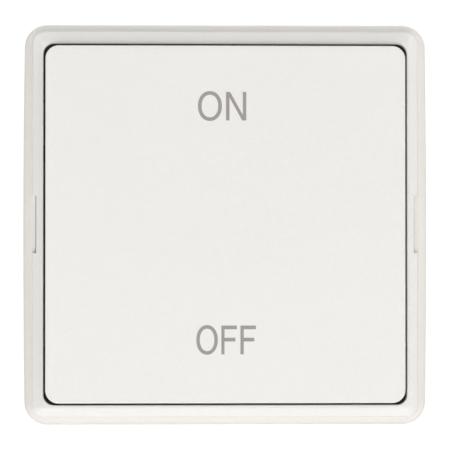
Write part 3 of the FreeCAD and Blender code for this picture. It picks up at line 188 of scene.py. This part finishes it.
def eroded_abs(name, light, dark, grain, depth, roughness):
    """White ABS from a spark eroded mould: a fine pebble grain that breaks up its soft sheen."""
    material, tree, shader, place = new_material(name, IOR=1.54)
    # pebbles of the eroded steel, drawn coarser than the real 0.1 mm so that they show
    pebbles = add(
        tree, "ShaderNodeTexNoise",
        {"Vector": place, "Scale": per_mm(grain), "Detail": 2.0, "Roughness": 0.6},
    )
    # flow of the melt: the tone drifts over tens of millimetres, and its specks with it
    flow = mottled(tree, place, 26.0, 0.0, 1.0, 2.0)
    speck = mottled(tree, place, grain * 1.7, 0.0, 0.5, 1.0)
    amount = add(tree, "ShaderNodeMath", {0: flow, 1: speck, 2: speck}, operation="MULTIPLY_ADD")
    # the gloss drifts too, more quickly than the tone
    gloss = mottled(tree, place, 9.0, roughness - 0.03, roughness + 0.04)
    finish(tree, shader, amount.outputs["Value"], light, dark, gloss, pebbles.outputs["Fac"], depth)
    return material


def filled_abs(name, light, dark):
    """Dark filled ABS of the parts behind the key: plain moulding with a dull polish."""
    material, tree, shader, place = new_material(name, IOR=1.54)
    tone = mottled(tree, place, 6.0, 0, 1)
    gloss = mottled(tree, place, 3.0, 0.5, 0.66)
    # grain of the filler, drawn coarser than its few hundredths of a millimetre so that it shows
    grain = add(tree, "ShaderNodeTexNoise", {"Vector": place, "Scale": per_mm(0.3), "Detail": 2.0})
    finish(tree, shader, tone, light, dark, gloss, grain.outputs["Fac"], 0.006)
    return material


def natural_acetal():
    """Natural acetal of the plungers, moulded: milky and slightly waxy."""
    material, tree, shader, place = new_material("natural_moulded_acetal", IOR=1.48)
    gloss = mottled(tree, place, 1.0, 0.3, 0.42)
    finish(tree, shader, mottled(tree, place, 2.0, 0, 1), "#E6E2D4", "#DAD5C5", gloss)
    return material


def foam_tape():
    """Closed cell polyethylene foam tape: small round cells, dull and slightly grey."""
    material, tree, shader, place = new_material("closed_cell_foam", IOR=1.5, Roughness=0.85)
    cells = add(
        tree, "ShaderNodeTexVoronoi",
        {"Vector": place, "Scale": per_mm(0.45), "Randomness": 1.0}, feature="F1",
    )
    # from the middle of a cell out to its wall, which is paler and stands up
    wall = add(
        tree, "ShaderNodeMapRange",
        {
            "Value": cells.outputs["Distance"], "From Min": 0.1, "From Max": 0.7,
            "To Min": 0.0, "To Max": 1.0,
        },
    ).outputs["Result"]
    finish(tree, shader, wall, "#C9C8C2", "#E2E1DC", relief=wall, depth=0.06)
    return material


def plain_metal(name, light, dark, roughness, grain, stretch=(1.0, 1.0, 1.0)):
    """A metal with fine marks, drawn out along one direction where it was drawn or rolled."""
    material, tree, shader, place = new_material(name, Metallic=1.0)
    # real marks are hundredths of a millimetre wide, and are drawn coarser so that they show
    along = add(tree, "ShaderNodeMapping", {"Vector": place, "Scale": stretch}).outputs["Vector"]
    gloss = mottled(tree, along, grain, roughness, roughness + 0.14)
    finish(tree, shader, mottled(tree, along, grain, 0.0, 1.0), light, dark, gloss)
    return material


def enamelled_copper():
    """Copper wire under clear enamel: warm metal with a smooth lacquer coat."""
    coat = {"Coat Weight": 0.6, "Coat Roughness": 0.12}
    material, tree, shader, place = new_material("enamelled_copper", Metallic=1.0, **coat)
    gloss = mottled(tree, place, 0.5, 0.24, 0.36)
    finish(tree, shader, mottled(tree, place, 0.8, 0, 1), "#C77B46", "#A95E30", gloss)
    return material


def solder_mask():
    """Glass epoxy board under green solder mask: woven glass and copper tracks show through."""
    material, tree, shader, place = new_material("solder_masked_laminate", IOR=1.5)
    # the board stands upright, and the patterns lie in the plane of their own x and y
    flat = add(tree, "ShaderNodeMapping", {"Vector": place, "Rotation": (math.pi / 2, 0, 0)})
    weave = add(
        tree, "ShaderNodeTexBrick",
        {
            "Vector": flat.outputs["Vector"], "Scale": per_mm(1.0), "Mortar Size": 0.12,
            "Brick Width": 0.8, "Row Height": 0.4,
        },
    )
    tracks = add(
        tree, "ShaderNodeTexBrick",
        {
            "Vector": flat.outputs["Vector"], "Scale": per_mm(10.0), "Mortar Size": 0.035,
            "Brick Width": 0.62, "Row Height": 0.21,
        },
    )
    cloth = add(
        tree, "ShaderNodeMix",
        {MIX_AMOUNT: weave.outputs["Fac"], MIX_FIRST: linear("#0F4A2A"), MIX_SECOND: linear("#145532")},
        data_type="RGBA",
    )
    gloss = mottled(tree, place, 4.0, 0.22, 0.32)
    copper = tracks.outputs["Fac"]
    finish(tree, shader, copper, cloth.outputs[MIX_RESULT], "#2C7A45", gloss, copper, 0.03)
    return material


def moulded_epoxy():
    """Black transfer moulded epoxy of the chip: very fine dull grain."""
    material, tree, shader, place = new_material("transfer_moulded_epoxy", IOR=1.55, Roughness=0.6)
    grain = mottled(tree, place, 0.12, 0.0, 1.0)
    finish(tree, shader, grain, "#1B1B1D", "#29292B", relief=grain, depth=0.01)
    return material


def capped_block(name, middle, light, dark):
    """Fired ceramic blocks with bright tinned caps at both ends, along x about a place."""
    material, tree, shader, place = new_material(name, IOR=1.6)
    across = add(tree, "ShaderNodeSeparateXYZ", {"Vector": place}).outputs["X"]
    offset = add(tree, "ShaderNodeMath", {0: across, 1: middle * MM}, operation="SUBTRACT")
    away = add(tree, "ShaderNodeMath", {0: offset.outputs["Value"]}, operation="ABSOLUTE")
    cap = add(
        tree, "ShaderNodeMath",
        {0: away.outputs["Value"], 1: CHIP_PART_HALF * TINNED_FROM * MM}, operation="GREATER_THAN",
    ).outputs["Value"]
    body = add(
        tree, "ShaderNodeMix",
        {
            MIX_AMOUNT: mottled(tree, place, 0.3, 0, 1), MIX_FIRST: linear(light),
            MIX_SECOND: linear(dark),
        },
        data_type="RGBA",
    )
    finish(
        tree, shader, cap, body.outputs[MIX_RESULT], "#C9C8C5", mottled(tree, place, 0.2, 0.34, 0.48)
    )
    tree.links.new(cap, shader.inputs["Metallic"])
    return material


def printed_ink():
    """Warm grey pad printed ink: a thin dull film, a little uneven where the pad lifted."""
    material, tree, shader, place = new_material("pad_printed_ink", IOR=1.5)
    gloss = mottled(tree, place, 0.4, 0.5, 0.6)
    finish(tree, shader, mottled(tree, place, 0.5, 0, 1), "#9F9894", "#A49D98", gloss)
    return material


def paint(nodes, material):
    """Give CAD nodes a finish."""
    for name in nodes:
        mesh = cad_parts[name].data
        mesh.materials.clear()
        mesh.materials.append(material)


def made_piece(name, mesh, body, material):
    """Put a finished mesh into the scene, with its finish, on the body that carries it."""
    piece = bpy.data.objects.new(name, mesh)
    bpy.context.scene.collection.objects.link(piece)
    mesh.materials.append(material)
    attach(piece, body)
    return piece


def mesh_from(work, name):
    """Turn finished bmesh geometry into a mesh."""
    mesh = bpy.data.meshes.new(name)
    work.to_mesh(mesh)
    work.free()
    return mesh


def ring_outline(cx, cz, half_w, half_h):
    """Points of an upright oval, a little fuller than an ellipse at its shoulders."""
    points = []
    for i in range(OVAL_STEPS):
        angle = 2 * math.pi * i / OVAL_STEPS
        across, rise = math.cos(angle), math.sin(angle)
        x = math.copysign(abs(across) ** (2 / OVAL_POWER), across)
        z = math.copysign(abs(rise) ** (2 / OVAL_POWER), rise)
        points.append((cx + half_w * x, cz + half_h * z))
    return points


def raised_film(work, loops):
    """Fill outlines that lie on the key's face with a thin film; a second loop is a hole."""
    rings = []
    for loop in loops:
        rings.append([work.verts.new((x * MM, -(KEY_FACE + INK_FILM) * MM, z * MM)) for x, z in loop])
    if len(rings) == 2:
        outer, inner = rings
        for i in range(len(outer)):
            j = (i + 1) % len(outer)
            work.faces.new((outer[i], outer[j], inner[j], inner[i]))
    else:
        work.faces.new(rings[0])
    for ring in rings:
        foot = [work.verts.new((v.co.x, -(KEY_FACE - INK_FOOT) * MM, v.co.z)) for v in ring]
        for i in range(len(ring)):
            j = (i + 1) % len(ring)
            work.faces.new((ring[i], foot[i], foot[j], ring[j]))


def letter_o(work, left, right, foot, top, side, end):
    """An oval letter; side and end are its stroke widths there."""
    cx, cz = (left + right) / 2, (foot + top) / 2
    half_w, half_h = (right - left) / 2, (top - foot) / 2
    outer = ring_outline(cx, cz, half_w, half_h)
    inner = ring_outline(cx, cz, half_w - side, half_h - end)
    raised_film(work, [outer, inner])


def letter_n(work, left, right, foot, top, stem, joint, fork):
    """Two stems and a diagonal; joint is its width at a stem's end, fork how far it leaves the stem."""
    raised_film(work, [[
        (left, foot), (left + stem, foot), (left + stem, top - fork), (right - joint, foot),
        (right, foot), (right, top), (right - stem, top), (right - stem, foot + fork),
        (left + joint, top), (left, top),
    ]])


def letter_f(work, left, right, foot, top, stem, arm, middle, reach):
    """A stem with two arms; middle is the top of the lower arm, and reach its end."""
    raised_film(work, [[
        (left, foot), (left + stem, foot), (left + stem, middle - arm), (reach, middle - arm),
        (reach, middle), (left + stem, middle), (left + stem, top - arm), (right, top - arm),
        (right, top), (left, top),
    ]])


def print_words():
    """ON and OFF in thin upright capitals, printed on the key; sizes in millimetres."""
    work = bmesh.new()
    letter_o(work, left=-5.470, right=-0.755, foot=20.36, top=26.23, side=0.71, end=0.71)
    letter_n(work, left=0.065, right=4.050, foot=20.46, top=26.08, stem=0.68, joint=0.80, fork=1.10)
    letter_o(work, left=-5.770, right=-1.560, foot=-25.66, top=-19.84, side=0.67, end=0.70)
    shared = {"foot": -25.60, "top": -19.94, "arm": 0.72, "middle": -22.34}
    letter_f(work, left=-0.850, right=2.215, stem=0.61, reach=1.915, **shared)
    letter_f(work, left=2.910, right=5.945, stem=0.64, reach=5.62, **shared)
    bmesh.ops.recalc_face_normals(work, faces=work.faces[:])
    return made_piece("printed_words", mesh_from(work, "printed_words"), "key", printed_ink())


def wound_spring(name, up, material):
    """Coil spring with closed ends, wound in its resting shape; the real one is squeezed as its plunger
    moves.
    """
    low = WELL_SEAT + COIL_PLAY + WIRE_RADIUS
    high = HEAD_UNDER - COIL_PLAY - WIRE_RADIUS
    count = int(COIL_TURNS * TURN_STEPS)
    curve = bpy.data.curves.new(name, "CURVE")
    curve.dimensions = "3D"
    curve.bevel_depth = WIRE_RADIUS * MM
    curve.bevel_resolution = 3
    spline = curve.splines.new("POLY")
    spline.points.add(count)
    for i in range(count + 1):
        share = i / count
        open_turns = (share * COIL_TURNS - CLOSED_TURNS) / (COIL_TURNS - 2 * CLOSED_TURNS)
        rise = min(max(open_turns, 0.0), 1.0) * (1 - EVEN_CLIMB) + EVEN_CLIMB * share
        angle = 2 * math.pi * COIL_TURNS * share
        out = low + (high - low) * rise
        x, z = COIL_RADIUS * math.cos(angle), up + COIL_RADIUS * math.sin(angle)
        spline.points[i].co = (x * MM, -out * MM, z * MM, 1.0)
    holder = bpy.data.objects.new(name, curve)
    bpy.context.scene.collection.objects.link(holder)
    bpy.context.view_layer.update()
    mesh = bpy.data.meshes.new_from_object(holder.evaluated_get(bpy.context.evaluated_depsgraph_get()))
    bpy.data.objects.remove(holder)
    spring = made_piece(name + "_wire", mesh, "housing", material)
    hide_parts(name)
    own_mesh(spring)
    return spring


def pressed_dome(name, up, material):
    """Snap dome with a rolled foot and a dimple, in its resting shape; the real one flattens as its
    plunger presses.
    """
    work = bmesh.new()
    rings = []
    for radius, height in DOME_SECTION:
        ring = []
        for i in range(DOME_STEPS if radius else 1):
            a = 2 * math.pi * i / DOME_STEPS
            x, z = radius * math.cos(a), up + radius * math.sin(a)
            ring.append(work.verts.new((x * MM, -(BOARD_TOP + height) * MM, z * MM)))
        rings.append(ring)
    for lower, upper in zip(rings, rings[1:]):
        for i in range(DOME_STEPS):
            corners = [(lower, i), (lower, i + 1), (upper, i + 1), (upper, i)]
            # a ring of one point gives the same corner twice
            work.faces.new(list(dict.fromkeys(ring[k % len(ring)] for ring, k in corners)))
    bmesh.ops.recalc_face_normals(work, faces=work.faces[:])
    for face in work.faces:
        face.smooth = True
    dome = made_piece(name + "_disc", mesh_from(work, name), "housing", material)
    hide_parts(name)
    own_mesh(dome)
    return dome


def finish_parts():
    """Give the CAD nodes their finishes; the springs and domes get theirs with the moving metal."""
    paint(["rocker"], eroded_abs(
        "spark_eroded_key_abs", "#F2F1ED", "#EFEEEA", grain=0.34, depth=0.012, roughness=0.46))
    paint(["bezel"], eroded_abs(
        "satin_bezel_abs", "#F3F1ED", "#EFEDE9", grain=0.3, depth=0.006, roughness=0.38))
    paint(["outer_casing"], eroded_abs(
        "satin_casing_abs", "#F4F1EB", "#F0EDE6", grain=0.3, depth=0.006, roughness=0.38))
    paint(["wall_plate", "battery_cover"], eroded_abs(
        "plain_plate_abs", "#E6E5E1", "#DFDED9", grain=0.4, depth=0.012, roughness=0.5))
    # the carrier is black filled ABS painted brown: painted light that stands in for the warm light the
    # white walls bounce onto the gap's floor
    paint(["switch_carrier"], filled_abs("black_abs_painted_warm_bounce", "#654A42", "#72544B"))
    paint(["cell_holder"], filled_abs("black_filled_abs", "#232323", "#2D2C2B"))
    paint(["on_plunger", "off_plunger"], natural_acetal())
    paint(["adhesive_pads"], foam_tape())
    paint(["circuit_board"], solder_mask())
    paint(["transmitter_chip"], moulded_epoxy())
    # hot tinned: pale, with soft cloudy reflections
    paint(["chip_leads", "crystal"], plain_metal("tinned_steel", "#D6D5D1", "#BCBBB7", 0.25, 0.2))
    # bright zinc plate: slightly blue, with a fine frosting
    paint(["carrier_screws"], plain_metal("bright_zinc_plate", "#C9CCD0", "#AEB0B0", 0.26, 0.25))
    # nickel plated can, rolled before it was drawn: warm grey with long faint marks
    paint(["coin_cell"], plain_metal("nickel_plated_steel", "#CECCC8", "#B9B7B2", 0.2, 0.3, (1, 1, 8)))
    # rolled bronze strip: straw yellow with marks along the strip
    bronze = plain_metal("rolled_contact_bronze", "#D2BE8C", "#B8A26F", 0.26, 0.2, (1, 6, 1))
    paint(["cell_contact_positive", "cell_contact_negative"], bronze)
    paint(["antenna_coil"], enamelled_copper())
    paint(["chip_capacitors"], capped_block(
        "fired_capacitor_ceramic", CAPACITOR_MIDDLE, "#A58661", "#94754F"))
    paint(["chip_resistors"], capped_block(
        "glazed_resistor_ceramic", RESISTOR_MIDDLE, "#1E1E20", "#2A2A2C"))


def make_moving_metal():
    """The springs and domes under the key, as wound wire and pressed sheet."""
    # drawn wire: bright, with marks round the coil; rolled sheet: brighter, with marks across it
    wire = plain_metal("drawn_spring_steel", "#C3C4C6", "#A4A6A9", 0.22, 0.1, (1, 4, 1))
    sheet = plain_metal("rolled_dome_steel", "#CFCFCE", "#B5B6B7", 0.2, 0.15, (6, 1, 1))
    paint(["on_spring", "off_spring"], wire)
    paint(["on_dome", "off_dome"], sheet)
    for name, up in (("on", PLUNGER_ARM), ("off", -PLUNGER_ARM)):
        wound_spring(f"{name}_spring", up, wire)
        pressed_dome(f"{name}_dome", up, sheet)


def direction(azimuth, elevation):
    """Unit vector out of the part: azimuth 0 is straight in front, positive to the right."""
    a, e = math.radians(azimuth), math.radians(elevation)
    return Vector((math.sin(a) * math.cos(e), -math.cos(a) * math.cos(e), math.sin(e)))


def place_camera():
    """Almost straight in front, a touch to the left and below, as the photograph was taken."""
    data = bpy.data.cameras.new("photo_camera")
    data.sensor_width = SENSOR
    data.lens = PIXELS_PER_MM * CAMERA_DISTANCE / MM * SENSOR / IMAGE
    camera = bpy.data.objects.new("photo_camera", data)
    bpy.context.scene.collection.objects.link(camera)
    back = direction(CAMERA_SIDE, CAMERA_RISE)
    camera.location = Vector(CAMERA_AIM) * MM + back * CAMERA_DISTANCE
    camera.rotation_euler = (-back).to_track_quat("-Z", "Y").to_euler()
    bpy.context.scene.camera = camera


def softbox(name, azimuth, elevation, distance, width, height, power):
    """A rectangular diffuser that looks at the object."""
    data = bpy.data.lights.new(name, "AREA")
    data.shape = "RECTANGLE"
    data.size, data.size_y, data.energy = width, height, power
    lamp = bpy.data.objects.new(name, data)
    bpy.context.scene.collection.objects.link(lamp)
    back = direction(azimuth, elevation)
    lamp.location = back * distance
    lamp.rotation_euler = (-back).to_track_quat("-Z", "Y").to_euler()


def light_the_set():
    """Diffusers round the part, one of them behind and above, in a room that is dim in front."""
    for diffuser in DIFFUSERS:
        softbox(*diffuser)
    world = bpy.data.worlds.new("studio")
    world.use_nodes = True
    tree = world.node_tree
    place = add(tree, "ShaderNodeTexCoord").outputs["Generated"]
    depth = add(tree, "ShaderNodeSeparateXYZ", {"Vector": place}).outputs["Y"]
    strength = add(
        tree, "ShaderNodeMapRange",
        {
            "Value": depth, "From Min": ROOM_TURN[0], "From Max": ROOM_TURN[1],
            "To Min": ROOM_FRONT, "To Max": ROOM_BACK,
        },
    )
    sky = tree.nodes["Background"]
    sky.inputs["Color"].default_value = linear("#FFFFFF")
    tree.links.new(strength.outputs["Result"], sky.inputs["Strength"])
    bpy.context.scene.world = world


def staged(name, work, material):
    """Put a piece of the set into the scene."""
    mesh = mesh_from(work, name)
    mesh.materials.append(material)
    piece = bpy.data.objects.new(name, mesh)
    bpy.context.scene.collection.objects.link(piece)
    return piece


def build_set():
    """White paper backdrop that glows on its own, and a pale matt floor well below the part."""
    paper = bpy.data.materials.new("backlit_paper")
    paper.use_nodes = True
    tree = paper.node_tree
    tree.nodes.clear()
    glow = add(tree, "ShaderNodeEmission", {"Color": linear("#FFFFFF"), "Strength": PAPER_GLOW})
    add(tree, "ShaderNodeOutputMaterial", {"Surface": glow.outputs["Emission"]})
    work = bmesh.new()
    bmesh.ops.create_icosphere(work, subdivisions=5, radius=PAPER_RADIUS)
    backdrop = staged("backdrop", work, paper)
    # only the camera sees the paper: the diffusers and the room light the part
    backdrop.visible_diffuse = False
    backdrop.visible_glossy = False
    backdrop.visible_transmission = False
    backdrop.visible_shadow = False
    # painted boards: pale and matt, with a slow change of tone
    matt, tree, shader, place = new_material("pale_matt_floor", Roughness=0.9)
    finish(tree, shader, mottled(tree, place, 90.0, 0, 1), "#E9E8E5", "#E4E3E0")
    work = bmesh.new()
    bmesh.ops.create_grid(work, x_segments=2, y_segments=2, size=FLOOR_HALF)
    floor = staged("floor", work, matt)
    floor.location = (0, 0, FLOOR_LEVEL)


finish_parts()
print_words()
make_moving_metal()
place_camera()
light_the_set()
build_set()
bpy.context.scene.view_settings.view_transform = "Standard"
bpy.context.scene.view_settings.look = "None"
